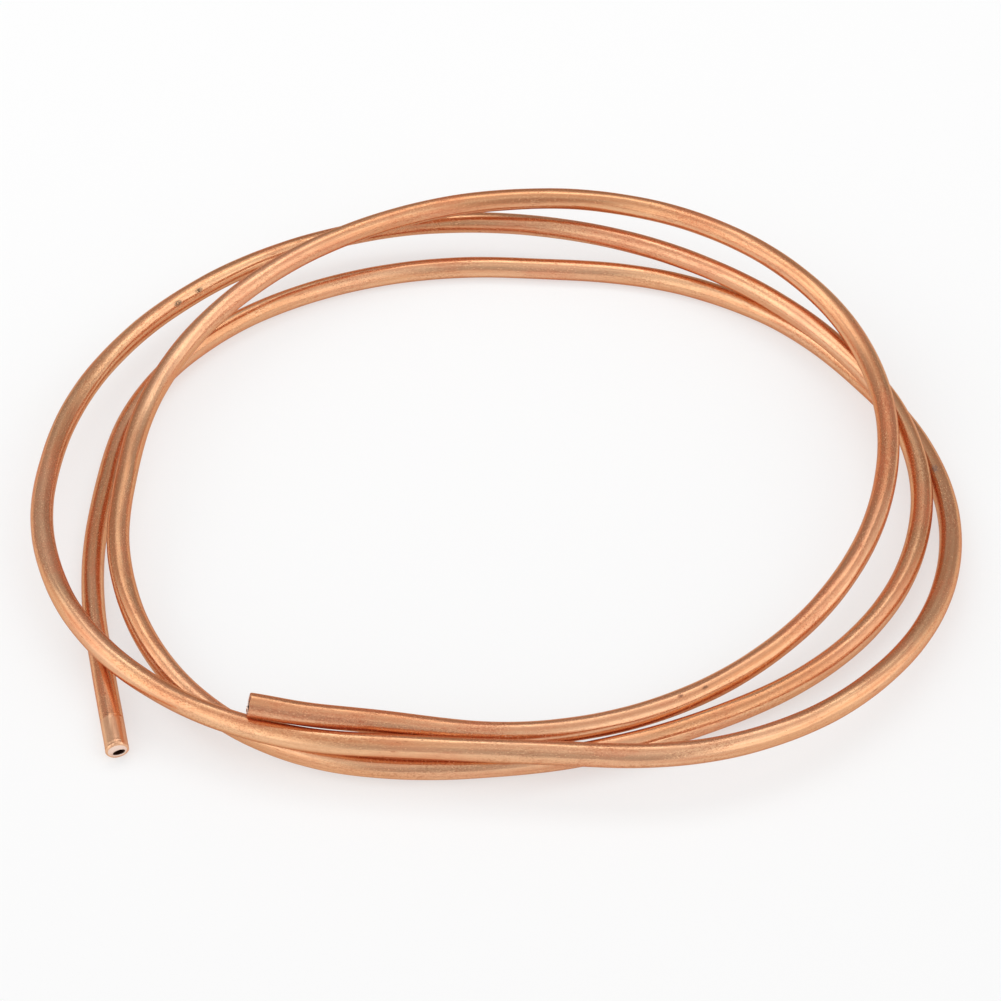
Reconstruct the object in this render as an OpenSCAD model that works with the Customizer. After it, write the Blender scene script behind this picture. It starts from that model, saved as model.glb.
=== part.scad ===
/* [Tube] */
// outside diameter of the tube
tube_d = 6; // [5:0.5:8]
// thickness of the tube's wall
wall = 1; // [0.8:0.1:1.4]
// bevel that the cutter leaves round the outside of each end
end_bevel = 0.4; // [0.2:0.1:0.6]
// how far the cutter turns the wall into the mouth of the bore
mouth_lip = 0.5; // [0.2:0.1:0.6]
// how far the turned-in wall reaches into the bore
lip_length = 1.2; // [0.8:0.1:2]

/* [Coil] */
// width of the turns, as a share of the coil as it was wound
coil_size = 1; // [1:0.05:1.3]
// air between turns that lie on one another
turn_gap = 0.3; // [0.3:0.1:0.6]
// straight length at the end that lies on the turns
upper_end = 48; // [20:1:60]
// straight length at the end that lies on the floor
lower_end = 41; // [20:1:60]

/* [Hidden] */
$fn = 48;
bore_d = tube_d - 2 * wall;
// from the middle of one turn to the middle of the turn that lies on it
layer = tube_d + turn_gap;
// The bends are given for turns 6.3 mm apart, and widen with them to keep the turns clear.
width = coil_size * layer / 6.3;

// The tube is bent from its upper end, which lies on the turns, to its lower end on the floor.
// which way it sets out, in degrees from +X, and how it climbs there, in percent
first_heading = -3;
first_climb = -12.6;
// One line for each bend: the straight before it, its radius, and the climb after it in percent.
// Two bends make a quarter turn, and a small one at the lower end comes last.
bends = [
  [0, 110, 2],
  [0, 115, 7.8],
  [0, 95, 5.6],
  [0, 91, -0.4],
  [0, 111, -5],
  [0, 112, -6.8],
  [15, 99, -4.4],
  [0, 72, -0.8],
  [0, 164, 1.8],
  [0, 91, 3.8],
  [0, 89, 1.8],
  [6, 125, 0],
  [0, 111, -1],
  [0, 114, 0],
  [5, 96, 1.6],
  [0, 93, 1],
  [62, 77, -6],
  [0, 98, -5.6],
  [0, 102, 0],
  [12, 93, 0],
  [22, 111, 0],
  [0, 89, 0],
  [18, 180, 0]
];
last = len(bends) - 1;

// The cosine and sine of each bend's angle. The angles are those of the 3-4-5 and 7-24-25
// triangles, so the corners of the bends are exact and each bend meets the next face to face.
function turn(k) = k == last ? [0.96, 0.28] : k % 2 == 0 ? [0.8, 0.6] : [0.6, 0.8];
function tenths(x) = round(10 * x) / 10;
function feed(k) = tenths(bends[k][0] * width);
function radius(k) = tenths(bends[k][1] * width);
function climb(k) = (k == 0 ? first_climb : bends[k - 1][2]) / 100 / coil_size;

// The bend's plane leans so that the climb changes from that before it to that after it.
function lean_height(k) = (climb(k + 1) - climb(k) * turn(k)[0]) / turn(k)[1];
function lean_in(k) = asin(lean_height(k) / sqrt(1 - climb(k) ^ 2));
function lean_out(k) =
  asin((lean_height(k) * turn(k)[0] - climb(k) * turn(k)[1]) / sqrt(1 - climb(k + 1) ^ 2));
// an angle near the one asked for whose cosine has six places
function six_place(a) = sign(a) * acos(round(cos(a) * 1e6) / 1e6);
function roll(k) = six_place(lean_in(k) - (k == 0 ? 0 : lean_out(k - 1)));

// A station on the tube's middle line: its place, the way along and the side that it bends to.
function leaned(at, a) = at[2] * cos(a) + cross(at[1], at[2]) * sin(a);
function bend_start(k, at) = [at[0] + feed(k) * at[1], at[1], leaned(at, roll(k))];
function along_bend(k, at, c, s) = at[0] + radius(k) * (s * at[1] + (1 - c) * at[2]);
function bend_end(k, at, c, s) =
  [along_bend(k, at, c, s), c * at[1] + s * at[2], c * at[2] - s * at[1]];
function stations(k, at) =
  k > last ? [at] : concat([at], stations(k + 1, bend_end(k, bend_start(k, at), turn(k)[0], turn(k)[1])));

first_way = [
  cos(first_heading) * sqrt(1 - climb(0) ^ 2),
  sin(first_heading) * sqrt(1 - climb(0) ^ 2),
  climb(0)
];
route = stations(0, [[0, 0, 0], first_way, [-sin(first_heading), cos(first_heading), 0]]);
// points close enough together to find how far the coil reaches
reach = [
  for (k = [0:last]) let (at = bend_start(k, route[k]), a = acos(turn(k)[0]))
    for (f = [0:0.1:1]) along_bend(k, at, cos(f * a), sin(f * a))
];
function lowest(i) = min([for (p = reach) p[i]]);
function highest(i) = max([for (p = reach) p[i]]);
middle = [(lowest(0) + highest(0)) / 2, (lowest(1) + highest(1)) / 2, lowest(2) - tube_d / 2];

module section() {
  difference() {
    circle(d = tube_d);
    circle(d = bore_d);
  }
}

module straight(length) {
  if (length > 0) rotate([0, 90, 0]) linear_extrude(length) section();
}

// part of a ring of tube, from its lowest point round to the angle with this cosine and sine
module bend(r, c, s) {
  translate([0, r, 0])
    intersection() {
      rotate_extrude() translate([r, 0]) section();
      translate([0, 0, -tube_d])
        linear_extrude(2 * tube_d)
          polygon([[0, 0], [0, -2 * r], [2 * r * s, -2 * r], [2 * r * s, -2 * r * c]]);
    }
}

// a straight end with the cutter's bevel outside and its lip in the bore
module cut_end(length) {
  rotate([0, 90, 0])
    rotate_extrude()
      polygon([
        [bore_d / 2, 0],
        [tube_d / 2, 0],
        [tube_d / 2, length - end_bevel],
        [tube_d / 2 - end_bevel, length],
        [bore_d / 2 - mouth_lip, length],
        [bore_d / 2, length - lip_length]
      ]);
}

// each bend is drawn from the end of the one before it
module tube_from(k) {
  if (k > last) {
    cut_end(lower_end);
  } else {
    c = turn(k)[0];
    s = turn(k)[1];
    straight(feed(k));
    translate([feed(k), 0, 0])
      rotate([roll(k), 0, 0]) {
        bend(radius(k), c, s);
        translate([radius(k) * s, radius(k) * (1 - c), 0])
          rotate([0, 0, acos(c)])
            tube_from(k + 1);
      }
  }
}

module copper_tube() {
  color("peru")
    translate(-middle)
      rotate([0, 0, first_heading])
        rotate([0, -asin(climb(0)), 0]) {
          rotate([0, 0, 180]) cut_end(upper_end);
          tube_from(0);
        }
}

copper_tube();
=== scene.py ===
# %% [markdown]
# A coil of soft copper tube, as it lies on a table in a bright studio.
# The solid model gives the tube's route and size, and this lesson gives it the skin of the real
# thing: a drawn, hand-bent tube with streaks, small scratches and two rough cut ends.
# The frame is loaded first.

# %% Load the solid model
import bpy
import numpy as np
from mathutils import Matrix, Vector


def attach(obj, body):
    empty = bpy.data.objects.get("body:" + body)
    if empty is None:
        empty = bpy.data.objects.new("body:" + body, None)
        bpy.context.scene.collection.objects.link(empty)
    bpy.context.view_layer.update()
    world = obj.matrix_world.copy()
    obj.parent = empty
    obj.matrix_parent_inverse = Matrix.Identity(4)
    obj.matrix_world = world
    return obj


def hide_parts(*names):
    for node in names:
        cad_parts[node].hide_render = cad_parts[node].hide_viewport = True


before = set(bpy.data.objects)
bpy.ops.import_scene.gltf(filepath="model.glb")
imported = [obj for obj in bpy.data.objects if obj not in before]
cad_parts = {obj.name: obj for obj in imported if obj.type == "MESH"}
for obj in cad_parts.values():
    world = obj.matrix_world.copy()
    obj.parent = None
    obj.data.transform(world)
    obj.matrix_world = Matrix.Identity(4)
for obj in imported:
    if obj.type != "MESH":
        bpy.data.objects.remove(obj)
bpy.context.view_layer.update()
MM = 0.001

# %% [markdown]
# The tube was bent by hand, one stretch after another. Each row of the table is one bend: the
# straight before it and its radius in millimetres, and how the tube climbs after it in percent.
# A spline through hand-placed points would do too, but arcs and straights are how a tube is
# really bent, and they are the same numbers that the solid model has.

# %% The bends of the tube
TUBE_R = 3.0
BORE_R = 2.0
UPPER_END, LOWER_END = 48.0, 41.0
FIRST_HEADING, FIRST_CLIMB = np.radians(-3.0), -12.6
BENDS = np.array([
    [0, 110, 2.0], [0, 115, 7.8], [0, 95, 5.6], [0, 91, -0.4], [0, 111, -5.0], [0, 112, -6.8],
    [15, 99, -4.4], [0, 72, -0.8], [0, 164, 1.8], [0, 91, 3.8], [0, 89, 1.8], [6, 125, 0.0],
    [0, 111, -1.0], [0, 114, 0.0], [5, 96, 1.6], [0, 93, 1.0], [62, 77, -6.0], [0, 98, -5.6],
    [0, 102, 0.0], [12, 93, 0.0], [22, 111, 0.0], [0, 89, 0.0], [18, 180, 0.0]])
ANGLES = np.arctan2(np.resize([0.6, 0.8], len(BENDS)), np.resize([0.8, 0.6], len(BENDS)))
ANGLES[-1] = np.arctan2(0.28, 0.96)
CLIMBS = np.r_[FIRST_CLIMB, BENDS[:, 2]] / 100
ROUTE_STEP = 0.5


def bent_route(step):
    """Points of the tube's middle line, in millimetres, about one step apart.

    A straight is place + length * way. A bend of angle a is place + radius * (sin a * way +
    (1 - cos a) * side), where side is level across the way, leaned about it until the bend
    ends with the climb that the table asks for."""
    level = np.sqrt(1 - CLIMBS[0] ** 2)
    way = np.array([np.cos(FIRST_HEADING) * level, np.sin(FIRST_HEADING) * level, CLIMBS[0]])
    place = np.zeros(3)
    runs = [np.outer(np.arange(-UPPER_END, 0, step), way)]
    for (feed, radius, _), angle, climb in zip(BENDS, ANGLES, CLIMBS[1:]):
        runs.append(place + np.outer(np.arange(0, feed, step), way))
        place = place + feed * way
        across = np.cross([0, 0, 1], way)
        across /= np.linalg.norm(across)
        above = np.cross(way, across)
        lean = (climb - way[2] * np.cos(angle)) / np.sin(angle) / above[2]
        side = np.sqrt(1 - lean ** 2) * across + lean * above
        turned = np.arange(0, angle, step / radius)
        forward, sideways = np.outer(np.sin(turned), way), np.outer(1 - np.cos(turned), side)
        runs.append(place + radius * (forward + sideways))
        place = place + radius * (np.sin(angle) * way + (1 - np.cos(angle)) * side)
        way = np.cos(angle) * way + np.sin(angle) * side
    runs.append(place + np.outer(np.r_[np.arange(0, LOWER_END, step), LOWER_END], way))
    return np.vstack(runs)


raw_route = bent_route(ROUTE_STEP)
low, high = raw_route.min(0), raw_route.max(0)
middle = np.array([(low[0] + high[0]) / 2, (low[1] + high[1]) / 2, low[2] - TUBE_R])
raw_route -= middle
print("route of", len(raw_route), "points, box in mm:", np.ptp(raw_route, axis=0).round(1).tolist())

# %% [markdown]
# A hand-bent tube has no sudden change of curvature, so the corners between the arcs are eased
# by a running mean, and the free upper end springs sideways by less than half a millimetre. The
# line is then measured along its length, because everything on the tube, from the streaks to the
# rounding of its ends, is placed by the distance from an end.

# %% Measure along the tube
EASE_REACH = 14
# Each spring of the upper end: mm sideways, distance from the tip in mm, and width in mm.
SPRINGS = [(0.4, 0, 8), (-0.45, 16, 11)]


def eased(points, reach):
    """Running mean over reach points on both sides, with the straight ends carried on."""
    before = points[0] + np.arange(-reach, 0)[:, None] * (points[1] - points[0])
    after = points[-1] + np.arange(1, reach + 1)[:, None] * (points[-1] - points[-2])
    padded = np.vstack([before, points, after])
    sums = np.cumsum(np.vstack([np.zeros(3), padded]), axis=0)
    return (sums[2 * reach + 1:] - sums[:-2 * reach - 1]) / (2 * reach + 1)


def even_steps(points, step):
    """The same line with its points one step apart, and the distance along it to each."""
    gone = np.r_[0, np.cumsum(np.linalg.norm(np.diff(points, axis=0), axis=1))]
    at = np.linspace(0, gone[-1], int(gone[-1] / step) + 1)
    return np.column_stack([np.interp(at, gone, points[:, i]) for i in range(3)]), at


def bump_at(value, centre, width):
    """A soft bump: exp(-((value - centre) / width) squared)."""
    return np.exp(-((value - centre) / width) ** 2)


even_route = even_steps(raw_route, ROUTE_STEP)[0]
route, route_at = even_steps(eased(even_route, EASE_REACH), ROUTE_STEP)
route[:, 1] += sum(side * bump_at(route_at, centre, width) for side, centre, width in SPRINGS)
LENGTH = route_at[-1]
print("tube length, m:", round(LENGTH * MM, 4))

# %% [markdown]
# The skin is a circle carried along the route: the grid's first parameter runs along the tube
# and its second runs round it. The same grid goes over the rim of one end, back through the
# bore and out over the rim of the other end, so the tube is one closed surface with a real wall.
# A curve with a bevel depth would be quicker, but it has no bore and no cut ends.

# %% Rings from one end to the other and back through the bore
AROUND = 48
LOWER_ROUND, UPPER_ROUND = 0.5, 0.2
MOUTH_R, MOUTH_EDGE = 1.5, 0.12
LIP_LENGTH = 3.0
END_ZONE, TIP_ZONE = 34.0, 13.0
TIP_STEP, END_STEP, LONG_STEP, BORE_STEP = 0.25, 0.7, 1.9, 6.0
# Ring by ring over the lip: shares of its length, of the way out to the bore and of the pinch,
# and the kind of surface, which goes from 1 on the cut face to 2 in the bore.
LIP_AT = np.array([0.03, 0.09, 0.2, 0.4, 0.7, 1.0])
LIP_OPEN = np.array([0.06, 0.0, 0.03, 0.25, 0.7, 1.0])
LIP_PINCH = np.array([1.0, 1.0, 0.95, 0.75, 0.35, 0.0])
LIP_CUT = np.array([1.3, 1.6, 2.0, 2.0, 2.0, 2.0])


def spaced(start, end, step):
    """Even distances from start to end, about one step apart, both ends kept."""
    return np.linspace(start, end, max(2, int(round(abs(end - start) / step)) + 1))


def rim(tip, inward, rounding):
    """Distance, radius, share of the pinched mouth and kind of surface, over a cut end.

    First a quarter round of the outer edge, then the flat of the wall, then the lip that the
    cutter pushed in, which widens again to the bore."""
    turned = np.linspace(0, np.pi / 2, 6)
    flat = np.linspace(0, 1, 6)[1:]
    at = np.r_[rounding * (1 - np.sin(turned)), 0 * flat, LIP_LENGTH * LIP_AT]
    edge_r = TUBE_R - rounding
    radius = np.r_[edge_r + rounding * np.cos(turned),
                   edge_r + (MOUTH_R + MOUTH_EDGE - edge_r) * flat,
                   MOUTH_R + (BORE_R - MOUTH_R) * LIP_OPEN]
    pinched = np.r_[0 * turned, flat ** 2, LIP_PINCH]
    cut = np.r_[0 * turned, 0 * flat + 1, LIP_CUT]
    return tip + inward * at, radius, pinched, cut


outside = np.r_[spaced(UPPER_ROUND, TIP_ZONE, TIP_STEP)[1:],
                spaced(TIP_ZONE, END_ZONE, END_STEP)[1:],
                spaced(END_ZONE, LENGTH - END_ZONE, LONG_STEP)[1:-1],
                spaced(LENGTH - END_ZONE, LENGTH - TIP_ZONE, END_STEP)[:-1],
                spaced(LENGTH - TIP_ZONE, LENGTH - LOWER_ROUND, TIP_STEP)[:-1]]
inside = spaced(LENGTH - LIP_LENGTH, LIP_LENGTH, BORE_STEP)[1:-1]
plain = np.zeros(len(outside))
ring_at, ring_r, ring_pinch, ring_cut = (
    np.r_[out, lower, back, upper[::-1]] for out, lower, back, upper in zip(
        (outside, plain + TUBE_R, plain, plain), rim(LENGTH, -1, LOWER_ROUND),
        (inside, 0 * inside + BORE_R, 0 * inside, 0 * inside + 2), rim(0.0, 1, UPPER_ROUND)))
print("rings:", len(ring_at), "faces:", len(ring_at) * AROUND)

# %% [markdown]
# No hand-bent tube is a perfect cylinder. Bending makes it a little oval, and hands and tables
# leave long shallow flats, which is why the highlights on the real one wander. These are added
# to the radius as slow waves from a seeded draw, so that they are the same on every run.
# The lower end was held in a tool when it was cut: its last centimetre has a crease, a nick
# where the jaws ended, a raised ring near the tip and a cut that is not quite square.

# %% Marks of the hand and of the tool
rng = np.random.default_rng(7)
WAVES = 16
wave_long = rng.uniform(14, 75, WAVES)
wave_round = rng.integers(1, 4, WAVES)
wave_start = rng.uniform(0, 2 * np.pi, WAVES)
wave_deep = rng.uniform(0.006, 0.018, WAVES)
burr_round = np.array([5, 7, 11, 13])
burr_start = rng.uniform(0, 2 * np.pi, len(burr_round))
burr_deep = np.array([0.05, 0.06, 0.06, 0.05])
OVAL = 0.03
NICK_AT, RING_AT = 10.5, 1.6
NICK_TURN, CREASE_TURN, FLATS_TURN = np.radians(50), 96, np.radians(70)
RING_HIGH, GROOVE_DEEP, NICK_DEEP = 0.03, 0.04, 0.09
BURR_HIGH, CREASE_DEEP, FLATS_DEEP = 0.05, 0.09, 0.03


def hand_waves(at, angle):
    """Sum of waves: depth * sin(2 pi * distance / wave length + turns round * angle + start)."""
    phase = 2 * np.pi * at[..., None] / wave_long + wave_round * angle[..., None] + wave_start
    return (wave_deep * np.sin(phase)).sum(-1)


def tool_marks(from_tip, angle):
    """Change of radius at the lower end: soft bumps and dips, each a depth times a bump.

    A ring with a groove and a nick with its burr go across the tube. A crease runs along it
    and turns slowly, and four flats are left by the jaws."""
    ring = (RING_HIGH * bump_at(from_tip, RING_AT, 0.25)
            - GROOVE_DEEP * bump_at(from_tip, RING_AT - 0.5, 0.2))
    nick = -NICK_DEEP * bump_at(from_tip, NICK_AT, 0.3) * bump_at(angle, NICK_TURN, 0.42)
    burr = BURR_HIGH * bump_at(from_tip, NICK_AT + 0.55, 0.3) * bump_at(angle, NICK_TURN, 0.5)
    held = np.clip((NICK_AT + 0.5 - from_tip) / 1.5, 0, 1)
    crease_angle = np.radians(CREASE_TURN + 1.7 * (NICK_AT - from_tip))
    crease = -CREASE_DEEP * held * bump_at(angle, crease_angle, 0.09)
    flats = FLATS_DEEP * held * np.cos(4 * (angle - FLATS_TURN))
    return ring + nick + burr + crease + flats


print("deepest hand wave, mm:", round(float(wave_deep.sum()), 3))

# %% [markdown]
# Now the grid itself. Each ring's circle is drawn in the plane across the tube, and the rings
# at the mouth are squeezed into a leaning oval, because the cutter pinched the soft wall.
# Both cuts slant two ways, the upper one is ragged too, and the underside is flattened by a
# hair where the tube rests on the floor.

# %% The tube's skin
PINCH = {"wide": 1.02, "high": 0.82, "lean": np.radians(11), "right": 0.35, "down": -0.65}
LOWER_SLANT, UPPER_SLANT = (1.0, 0.3), (0.6, 0.4)
SLANT_REACH, RAGGED_FADE = 6, 8


def tube_skin(at, radius, pinched):
    """Grid of points: middle + across * x + above * y, with x and y on a circle round the way.

    The angle is 0 on the left of the way along and a quarter turn on top. The radius is the
    ring's own plus the marks of hand and tool. Near the tips the rings lean back with the slant
    of the cut. At a pinched ring, x and y are scaled, turned and moved to the leaning oval of
    the mouth. The second result is the place on the tube as if it were straight."""
    angle = 2 * np.pi * np.arange(AROUND) / AROUND
    at_, angle_ = np.meshgrid(at, angle, indexing="ij")
    from_tip = LENGTH - at_
    outer = (radius > TUBE_R - 0.01)[:, None]
    r = radius[:, None] + outer * (hand_waves(at_, angle_) - OVAL * np.cos(2 * angle_))
    r = r + tool_marks(from_tip, angle_) * (radius > TUBE_R - LOWER_ROUND)[:, None]
    near_lower, near_upper = (np.clip(1 - gone / SLANT_REACH, 0, 1) ** 2
                              for gone in (from_tip, at_))
    ragged = (burr_deep * np.sin(burr_round * angle_[..., None] + burr_start)).sum(-1)
    lower_back = LOWER_SLANT[0] * (1 - np.sin(angle_)) + LOWER_SLANT[1] * (1 + np.cos(angle_))
    upper_back = UPPER_SLANT[0] * (1 + np.sin(angle_)) + UPPER_SLANT[1] * (1 - np.cos(angle_))
    at_ = at_ - lower_back / 2 * near_lower + upper_back / 2 * near_upper
    at_ = at_ + ragged * near_upper ** RAGGED_FADE
    share = pinched[:, None]
    x = r * np.cos(angle_) * (1 + share * (PINCH["wide"] - 1))
    y = r * np.sin(angle_) * (1 + share * (PINCH["high"] - 1))
    lean = share * PINCH["lean"]
    x, y = (x * np.cos(lean) - y * np.sin(lean) + share * PINCH["right"],
            x * np.sin(lean) + y * np.cos(lean) + share * PINCH["down"])
    ways = np.gradient(route, axis=0)
    centre, way = (np.stack([np.interp(at_, route_at, line[:, i]) for i in range(3)], axis=-1)
                   for line in (route, ways))
    across = np.cross([0.0, 0.0, 1.0], way)
    across /= np.linalg.norm(across, axis=-1)[..., None]
    above = np.cross(way / np.linalg.norm(way, axis=-1)[..., None], across)
    return centre + x[..., None] * across + y[..., None] * above, np.stack([at_, x, y], axis=-1)


def closed_grid(name, points):
    """Mesh of a grid that closes on itself both ways, with its faces outwards."""
    rows, cols = points.shape[:2]
    row, col = np.meshgrid(np.arange(rows), np.arange(cols), indexing="ij")
    next_row, next_col = (row + 1) % rows, (col + 1) % cols
    faces = np.stack([row * cols + col, row * cols + next_col,
                      next_row * cols + next_col, next_row * cols + col], axis=-1)
    mesh = bpy.data.meshes.new(name)
    mesh.vertices.add(rows * cols)
    mesh.vertices.foreach_set("co", points.reshape(-1).astype(np.float32))
    mesh.loops.add(faces.size)
    mesh.loops.foreach_set("vertex_index", faces.reshape(-1).astype(np.int32))
    mesh.polygons.add(rows * cols)
    mesh.polygons.foreach_set("loop_start", np.arange(0, faces.size, 4, dtype=np.int32))
    mesh.update(calc_edges=True)
    mesh.polygons.foreach_set("use_smooth", np.ones(rows * cols, dtype=bool))
    return mesh


skin, drawn = tube_skin(ring_at, ring_r, ring_pinch)
skin[..., 2] = np.maximum(skin[..., 2], 0.0)
tube_mesh = closed_grid("copper_tube_skin", skin * MM)
drawn_place = tube_mesh.attributes.new("drawn", "FLOAT_VECTOR", "POINT")
drawn_place.data.foreach_set("vector", drawn.reshape(-1).astype(np.float32))
cut_share = tube_mesh.attributes.new("cut", "FLOAT", "POINT")
cut_share.data.foreach_set("value", np.repeat(ring_cut, AROUND).astype(np.float32))
tube = bpy.data.objects.new("copper_tube_skin", tube_mesh)
bpy.context.scene.collection.objects.link(tube)
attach(tube, "root")
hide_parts("copper_tube")
print("skin:", len(tube_mesh.vertices), "points, box in m:",
      np.ptp(skin.reshape(-1, 3) * MM, axis=0).round(4).tolist())

# %% [markdown]
# Shader maths reads best as ordinary expressions. This small class wraps one output socket and
# adds a Math node for each operator, so that a mask can be written as 1 - specks * 0.5.
# Its node method makes any other node: settings first, then the values or links of its sockets.

# %% A wire that understands arithmetic
class Wire:
    """An output socket of a node tree. Operators on wires add Math nodes to that tree."""

    def __init__(self, tree, socket=None):
        self.tree, self.socket = tree, socket

    def node(self, kind, settings=None, sockets=None, out=0):
        made = self.tree.nodes.new(kind)
        for name, value in (settings or {}).items():
            setattr(made, name, value)
        for key, value in (sockets or {}).items():
            if isinstance(value, Wire):
                self.tree.links.new(value.socket, made.inputs[key])
            else:
                made.inputs[key].default_value = value
        return Wire(self.tree, made.outputs[out])

    def maths(self, operation, *values):
        return self.node("ShaderNodeMath", {"operation": operation}, dict(enumerate(values)))

    def __add__(self, other):
        return self.maths("ADD", self, other)

    def __sub__(self, other):
        return self.maths("SUBTRACT", self, other)

    def __rsub__(self, other):
        return self.maths("SUBTRACT", other, self)

    def __mul__(self, other):
        return self.maths("MULTIPLY", self, other)

    __radd__ = __add__
    __rmul__ = __mul__

    def rise(self, start, end):
        """0 up to start and 1 from end on, with a smooth rise between."""
        return self.node("ShaderNodeMapRange", {"interpolation_type": "SMOOTHSTEP"},
                         {"Value": self, "From Min": start, "From Max": end})

    def fall(self, start, end):
        """1 up to start and 0 from end on, with a smooth fall between."""
        return 1 - self.rise(start, end)

    def noise(self, scale, detail=2.0, rough=0.5):
        return self.node("ShaderNodeTexNoise", {}, {"Vector": self, "Scale": scale,
                                                    "Detail": detail, "Roughness": rough})

    def pressed(self, share):
        """This place with its first axis, the tube's length, pressed to a share of itself."""
        return self.node("ShaderNodeVectorMath", {"operation": "MULTIPLY"},
                         {0: self, 1: (share, 1.0, 1.0)})

    def far_from(self, place):
        return self.node("ShaderNodeVectorMath", {"operation": "DISTANCE"},
                         {0: self, 1: place}, "Value")

    def tint(self, amount, color):
        """This colour, with the given amount of another mixed in."""
        return self.node("ShaderNodeMix", {"data_type": "RGBA"}, {0: amount, 6: self, 7: color}, 2)

    def into(self, shader, name):
        self.tree.links.new(self.socket, shader.inputs[name])


def new_material(name):
    material = bpy.data.materials.new(name)
    material.use_nodes = True
    return material, Wire(material.node_tree), material.node_tree.nodes["Principled BSDF"]


def mix_shaders(material, amount, first, second):
    """Give the material's surface two shaders, the second by the given amount."""
    mixed = amount.node("ShaderNodeMixShader", {}, {0: amount, 1: first, 2: second})
    mixed.into(material.node_tree.nodes["Material Output"], "Surface")


print("operators ready:", [name for name in vars(Wire) if name.startswith("__r")])

# %% [markdown]
# Copper is a metal, so its colour is the colour of its reflections. Drawing the tube through a
# die leaves fine streaks that run along it, so the pattern is read from the attribute "drawn":
# the place on the tube as if it were still straight, in millimetres. Noise whose first axis is
# pressed together becomes streaks that follow every bend.

# %% Patterns on the drawn tube
copper, wire, skin_shader = new_material("drawn_copper")
place = wire.node("ShaderNodeAttribute", {"attribute_name": "drawn"}, out="Vector")
cut = wire.node("ShaderNodeAttribute", {"attribute_name": "cut"}, out="Fac")
along, across = (wire.node("ShaderNodeSeparateXYZ", {}, {0: place}, axis) for axis in "XY")
from_lower = LENGTH - along
bands = place.pressed(0.012).noise(0.55, 2.0, 0.5)
streaks = place.pressed(0.03).noise(3.0, 3.0, 0.6)
cloud = place.pressed(0.35).noise(0.16, 4.0, 0.6)
grain = place.pressed(0.35).noise(1.4, 3.0, 0.7)
speckle = place.pressed(0.55).noise(2.9, 2.0, 0.7)
dashes = place.pressed(0.15).noise(2.4, 1.0, 0.5).rise(0.69, 0.75) * cloud.rise(0.42, 0.58)
flecks = place.pressed(0.7).noise(2.3, 1.0, 0.5).rise(0.72, 0.78)
pits = speckle.fall(0.27, 0.37)
worn = 0.2 + 0.8 * place.pressed(0.25).noise(0.22, 2.0, 0.5).rise(0.45, 0.65)
blush = place.pressed(0.15).noise(0.12, 1.0, 0.5).rise(0.40, 0.62)
print("patterns on the skin:", len(copper.node_tree.nodes), "nodes")

# %% [markdown]
# Some marks are not a pattern: two scuffs with dark oxide and a pale painted glint, two dark
# specks, a grey spot and six scrapes sit where the real tube has them, and short dark strokes lie
# beside the nick. The scrapes are scratches whose pale specks are partly painted highlights, put
# where the tube shines. An image would do too, but rows of places and sizes stay sharp and are
# easy to change.

# %% Single marks
# Each mark: distance along the tube in mm, degrees round it, and size in mm.
# The scuffs hold real dark oxide under a pale painted glint.
SCUFFS_AND_GLINTS = [(1162.6, 44, 1.1), (1154.4, 44, 1.0)]
# The scrapes are scratches whose pale specks are partly painted highlights.
SCRAPES_AND_HIGHLIGHTS = [(1606.0, 75, 1.7), (1856.2, 45, 1.1), (1343.8, 125, 1.1),
           (222.4, 75, 0.7), (1468.5, 135, 1.1), (1757.3, 70, 0.9)]
SPECKS = [(116.5, 115, 0.6), (109.5, 105, 0.6)]
GREY_SPOT = [(1616.4, 75, 1.3)]
STROKES = [(LENGTH - NICK_AT - 0.6, 112, 0.9)]
STROKE_RADIANS_PER_MM = 8.0
SPOT_LONG, SCRAPE_LONG = 0.55, 0.2
SPOT_RAGGED, SPOT_FULL, SPOT_GONE = 1.6, 1.2, 1.8


def spots(marks, long):
    """Share of ragged spots that are 1 / long times as long as they are wide.

    A spot's share falls with the distance from its centre, measured with the tube's length
    pressed together, plus a little of the speckle to make the outline ragged."""
    share = 0.0
    for distance, turned, size in marks:
        angle = np.radians(turned)
        centre = (distance * long, TUBE_R * np.cos(angle), TUBE_R * np.sin(angle))
        far = place.pressed(long).far_from(centre) + speckle * (SPOT_RAGGED * size)
        share = wire.maths("MAXIMUM", share, far.fall(SPOT_FULL * size, SPOT_GONE * size))
    return share


scuffs_and_glints = spots(SCUFFS_AND_GLINTS, SPOT_LONG)
oxide = scuffs_and_glints * speckle.rise(0.40, 0.50)
scrapes_and_highlights = spots(SCRAPES_AND_HIGHLIGHTS, SCRAPE_LONG)
dark_specks = spots(SPECKS, SPOT_LONG)
lines = wire.maths("SINE", (along - across) * STROKE_RADIANS_PER_MM)
strokes = spots(STROKES, 1.0) * lines.rise(0.1, 0.8)
grey = spots(GREY_SPOT, SPOT_LONG) * speckle.rise(0.38, 0.48)
rubbed = from_lower.fall(NICK_AT - 0.3, NICK_AT + 0.3)
print("single marks:", sum(map(len, (SCUFFS_AND_GLINTS, SCRAPES_AND_HIGHLIGHTS, SPECKS, GREY_SPOT, STROKES))))
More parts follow.
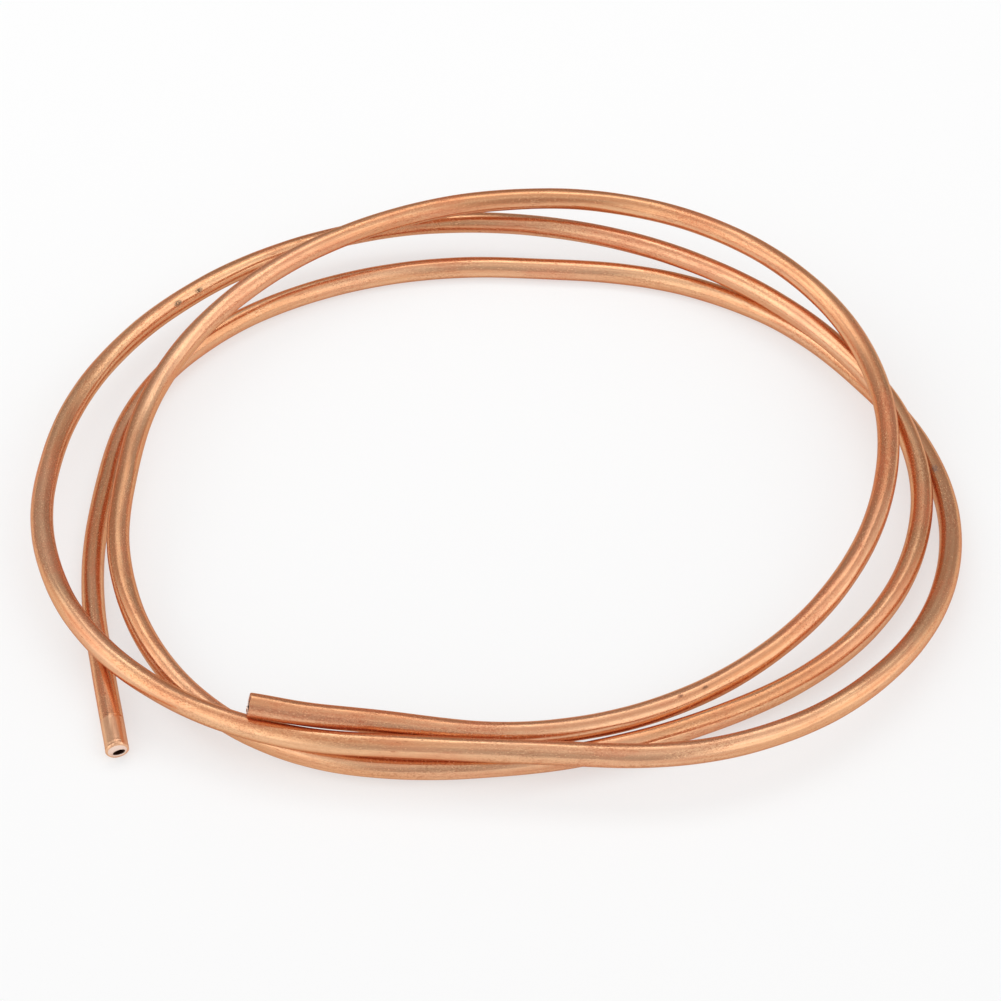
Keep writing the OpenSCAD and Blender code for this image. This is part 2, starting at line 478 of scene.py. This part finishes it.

# %% [markdown]
# The colour starts as clean copper, in darker and paler bands. Pink stretches, streaks, grain,
# speckle and the single marks, some with painted glints and highlights, then change it one
# after another, each by a small amount. The lower end is paler where the jaws rubbed it, the cut
# faces are fresh and pink, and the bore is painted dark as shade. One list of amounts and colours
# shows the order in which they cover one another.

# %% Colour of the copper
COPPER = (0.70, 0.350, 0.170, 1.0)
PALE = (0.92, 0.575, 0.330, 1.0)
PINK = (0.86, 0.520, 0.360, 1.0)
BROWN = (0.40, 0.165, 0.070, 1.0)
FRESH = (0.95, 0.76, 0.67, 1.0)
OXIDE = (0.06, 0.045, 0.03, 1.0)
GREY = (0.33, 0.29, 0.26, 1.0)
BORE_SHADE = (0.07, 0.028, 0.018, 1.0)
in_bore = cut.rise(1.1, 1.7)
tone = wire.node("ShaderNodeMix", {"data_type": "RGBA"},
                 {0: bands.rise(0.35, 0.75), 6: COPPER, 7: PALE}, 2)
for amount, color in [
        (blush * 0.25, PINK),
        (streaks.rise(0.55, 0.72) * 0.25, BROWN), (streaks.fall(0.28, 0.42) * 0.3, PALE),
        (grain.rise(0.5, 0.7) * worn * 0.25, BROWN), (grain.fall(0.3, 0.5) * worn * 0.25, PALE),
        (speckle.rise(0.5, 0.64) * worn * 0.5, BROWN),
        (speckle.fall(0.36, 0.5) * worn * 0.4, PALE),
        (pits * 0.5, BROWN), (dashes * 0.6, BROWN), (flecks * 0.8, PALE),
        (rubbed * 0.3, PALE), (rubbed * 0.08, FRESH), (strokes * 0.6, OXIDE),
        # Pale specks of the scrapes: scratches, partly painted highlights.
        (scrapes_and_highlights * speckle.fall(0.40, 0.48) * 0.8, PALE),
        (scrapes_and_highlights * speckle.rise(0.54, 0.62) * 0.6, BROWN),
        # The pale tint over the scuffs is a painted glint; the oxide over it is real.
        (dark_specks * 0.7, OXIDE), (scuffs_and_glints * 0.4, PALE),
        (oxide * 0.9, OXIDE), (grey * 0.75, GREY),
        # The bore's near-black colour is painted shade.
        (cut.rise(0.1, 0.9) * 0.85, FRESH), (in_bore, BORE_SHADE)]:
    tone = tone.tint(amount, color)
tone.into(skin_shader, "Base Color")
print("colour nodes:", len(copper.node_tree.nodes))

# %% [markdown]
# Satin comes from roughness and from relief that is too fine to see by itself: grooves of the
# die along the tube, grain, pits and dashes. They go through one Bump node, and it is the grain
# that breaks up the edges of the highlights. Seen at a flat angle a clean metal turns white, and
# a darker Specular Tint keeps the edges of this tarnished one copper.

# %% Satin of the copper
RELIEF_DEEP = 0.0001
EDGE_TINT = (0.72, 0.52, 0.42, 1.0)
# In the bore the metal is made matt, so that its painted shade stays dark.
(1 - 0.75 * wire.maths("MAXIMUM", oxide, in_bore)).into(skin_shader, "Metallic")
rough = 0.14 + cloud * 0.10 + grain * 0.05 + pits * 0.2 + oxide * 0.3 + rubbed * 0.08
rough.into(skin_shader, "Roughness")
relief = (grain + speckle) * worn * 0.25 + streaks * 0.3 + bands * 0.8 - pits * 0.3 - dashes * 0.3
bump = wire.node("ShaderNodeBump", {},
                 {"Strength": 1.0, "Distance": RELIEF_DEEP, "Height": relief})
bump.into(skin_shader, "Normal")
skin_shader.inputs["Specular Tint"].default_value = EDGE_TINT
tube_mesh.materials.append(copper)
print("copper nodes:", len(copper.node_tree.nodes))

# %% [markdown]
# Copper that has lain about carries a thin film of red-brown oxide. It scatters light instead of
# mirroring it, so it is a second, matt shader that is mixed in, more where the tarnish is
# cloudy and less where the tube was rubbed. It keeps the dark reflections warm.

# %% Film of oxide
FILM_RED = (0.60, 0.11, 0.045, 1.0)
film_shader = copper.node_tree.nodes.new("ShaderNodeBsdfPrincipled")
film_shader.inputs["Base Color"].default_value = FILM_RED
film_shader.inputs["Roughness"].default_value = 0.7
film_shader.inputs["Specular IOR Level"].default_value = 0.1
bump.into(film_shader, "Normal")
film = (0.11 + cloud.rise(0.42, 0.70) * 0.20 + bands.fall(0.3, 0.5) * 0.08
        + grain.rise(0.45, 0.7) * 0.08)
film = film * (1 - rubbed * 0.3) * cut.fall(0.1, 0.6) * (1 - oxide)
mix_shaders(copper, film, Wire(copper.node_tree, skin_shader.outputs[0]),
            Wire(copper.node_tree, film_shader.outputs[0]))
print("nodes with the film:", len(copper.node_tree.nodes))

# %% [markdown]
# The coil lies on a white table, so the floor is a big pale sheet. Lamps that turn a sheet white
# would bleach the copper too, so the sheet glows a little instead, and only for the rays of the
# camera and for those that metal mirrors or glass lets through. It still takes the shadow.

# %% Floor
FLOOR_HALF = 6.0
FLOOR_LIFT = 0.55
PAPER = (0.92, 0.92, 0.92, 1.0)
WHITE = (1.0, 1.0, 1.0, 1.0)
floor_mesh = bpy.data.meshes.new("studio_floor")
floor_mesh.from_pydata([(-FLOOR_HALF, -FLOOR_HALF, 0), (FLOOR_HALF, -FLOOR_HALF, 0),
                        (FLOOR_HALF, FLOOR_HALF, 0), (-FLOOR_HALF, FLOOR_HALF, 0)],
                       [], [(0, 1, 2, 3)])
floor = bpy.data.objects.new("studio_floor", floor_mesh)
bpy.context.scene.collection.objects.link(floor)
paper, wire, paper_shader = new_material("white_paper")
paper_shader.inputs["Base Color"].default_value = PAPER
paper_shader.inputs["Roughness"].default_value = 0.9
paper_shader.inputs["Specular IOR Level"].default_value = 0.0
glow = wire.node("ShaderNodeEmission", {}, {"Color": WHITE, "Strength": 1.0})
seen, mirrored, through = (wire.node("ShaderNodeLightPath", {}, {}, "Is %s Ray" % kind)
                           for kind in ("Camera", "Glossy", "Transmission"))
lifted = wire.maths("MAXIMUM", wire.maths("MAXIMUM", seen, mirrored), through) * FLOOR_LIFT
mix_shaders(paper, lifted, Wire(paper.node_tree, paper_shader.outputs[0]), glow)
floor_mesh.materials.append(paper)
print("floor side, m:", 2 * FLOOR_HALF)

# %% [markdown]
# A light tent is bright from above and from the sides, and less so low down at the back. Metal
# shows the tent in its reflections, so the world's strength is worked out from the direction
# that a ray looks in. Three soft lamps give the shadow and the pale bands along the tube.

# %% Light
TENT_ROOF, TENT_BACK, TENT_FRONT, TENT_SIDES = 0.84, 0.38, 0.12, 1.0
world = bpy.data.worlds.new("studio")
bpy.context.scene.world = world
world.use_nodes = True
sky = Wire(world.node_tree)
background = world.node_tree.nodes["Background"]
background.inputs["Color"].default_value = WHITE
looks = sky.node("ShaderNodeTexCoord", {}, {}, "Generated")
right, behind, up = (sky.node("ShaderNodeSeparateXYZ", {}, {0: looks}, axis) for axis in "XYZ")
roof = up.rise(0.6, 0.9)
side_wall = sky.maths("ABSOLUTE", right).rise(0.15, 0.6)
walls = TENT_BACK + behind.fall(0.05, 0.6) * (TENT_FRONT + TENT_SIDES * side_wall)
tent = TENT_ROOF * roof + (1 - roof) * walls
tent.into(background, "Strength")


def soft_lamp(name, place, aim, size, power):
    """A rectangular area lamp at place that shines towards aim."""
    lamp = bpy.data.lights.new(name, "AREA")
    lamp.shape, lamp.size, lamp.size_y, lamp.energy = "RECTANGLE", size[0], size[1], power
    holder = bpy.data.objects.new(name, lamp)
    bpy.context.scene.collection.objects.link(holder)
    holder.location = place
    toward = Vector(aim) - Vector(place)
    holder.rotation_euler = toward.to_track_quat("-Z", "Y").to_euler()


soft_lamp("top_lamp", (0.0, 0.25, 0.9), (0, 0.05, 0), (1.0, 0.22), 0.3)
soft_lamp("back_lamp", (0.0, 0.30, 0.55), (0, 0.05, 0), (0.8, 0.15), 0.5)
soft_lamp("left_lamp", (-0.75, 0.0, 0.5), (0, 0, 0), (0.7, 0.4), 0.35)

# %% [markdown]
# The camera stands in front of the coil and looks down at it by 42 degrees, through a long lens,
# as the studio's camera did.

# %% Camera
SENSOR = 36.0
LENS_PIXELS, IMAGE_PIXELS = 3315.0, 1001.0
CAMERA_DOWN = np.radians(42.0)
CAMERA_FAR = 0.8943
AIM = np.array([0.00113, -0.00158, -0.00023])
camera_data = bpy.data.cameras.new("photo_camera")
camera_data.sensor_width = SENSOR
camera_data.lens = LENS_PIXELS / IMAGE_PIXELS * SENSOR
camera = bpy.data.objects.new("photo_camera", camera_data)
bpy.context.scene.collection.objects.link(camera)
camera.location = AIM + CAMERA_FAR * np.array([0, -np.cos(CAMERA_DOWN), np.sin(CAMERA_DOWN)])
camera.rotation_euler = (np.pi / 2 - CAMERA_DOWN, 0, 0)
bpy.context.scene.camera = camera
bpy.context.scene.view_settings.view_transform = "Standard"
print("lens, mm:", round(camera_data.lens, 1))

# %% [markdown]
